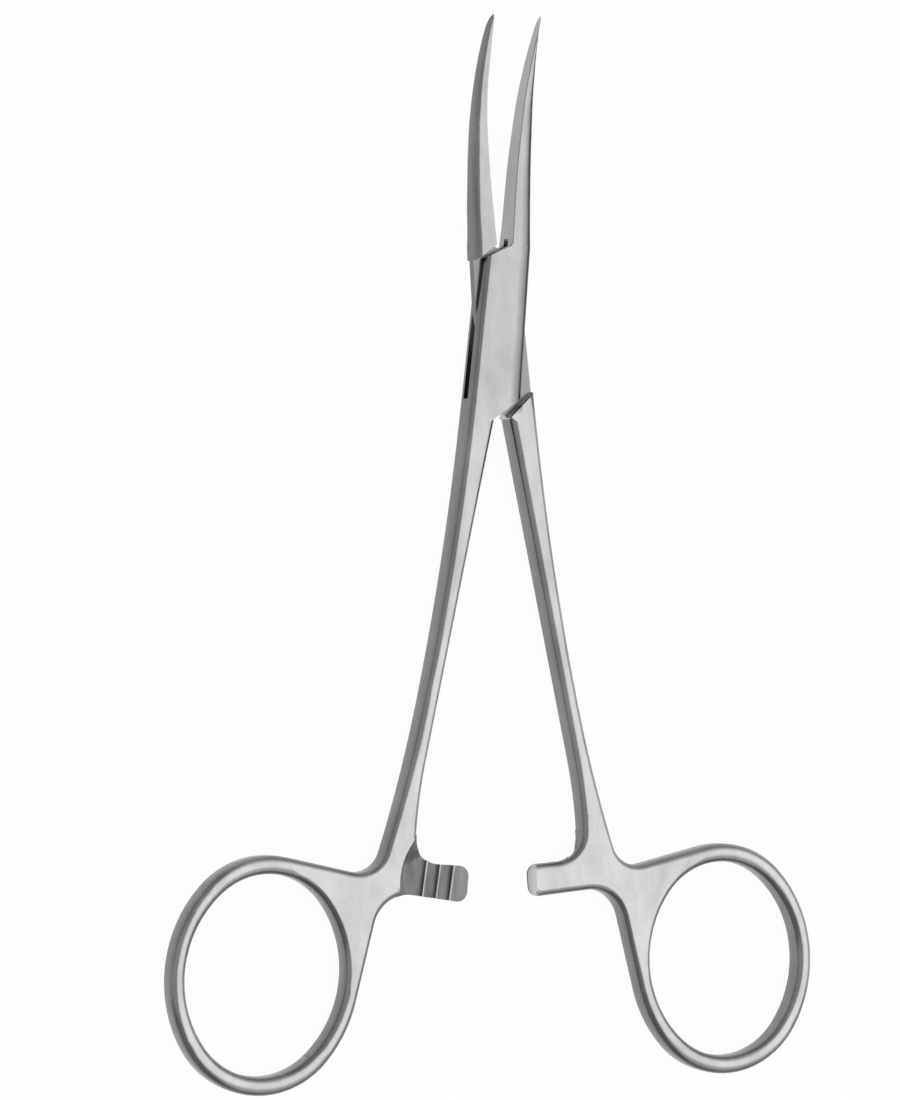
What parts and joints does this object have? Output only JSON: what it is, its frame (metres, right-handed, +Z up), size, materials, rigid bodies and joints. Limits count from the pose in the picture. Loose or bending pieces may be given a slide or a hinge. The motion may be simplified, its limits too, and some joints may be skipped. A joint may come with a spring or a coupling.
{
  "type": "hemostat forceps",
  "caption": "Slim curved hemostat forceps with serrated jaws, a box-lock pivot, long bowed shanks, oval finger rings and an interlocking ratchet, lying flat and slightly open.",
  "frame": {"origin": "on the pivot axis, in the plane of the box's flat underside", "axes": "+Y from the finger rings towards the jaw tips, +Z up along the pivot pin, +X to the right"},
  "size_m": [0.0814, 0.1229, 0.0071],
  "materials": {
    "satin_steel": "satin stainless steel with a fine glass-bead grain",
    "polished_pin": "stainless steel pin, ground flush with the box"
  },
  "bodies": {
    "box_half": {"box_half": "satin_steel", "pivot_pin": "polished_pin"},
    "tenon_half": {"tenon_half": "satin_steel"}
  },
  "joints": [
    {"name": "box_lock_hinge", "type": "hinge", "parent": "box_half", "child": "tenon_half", "pos_m": [0, 0, 0.0018], "axis": [0, 0, 1], "range_deg": [-9.3, 45]}
  ]
}
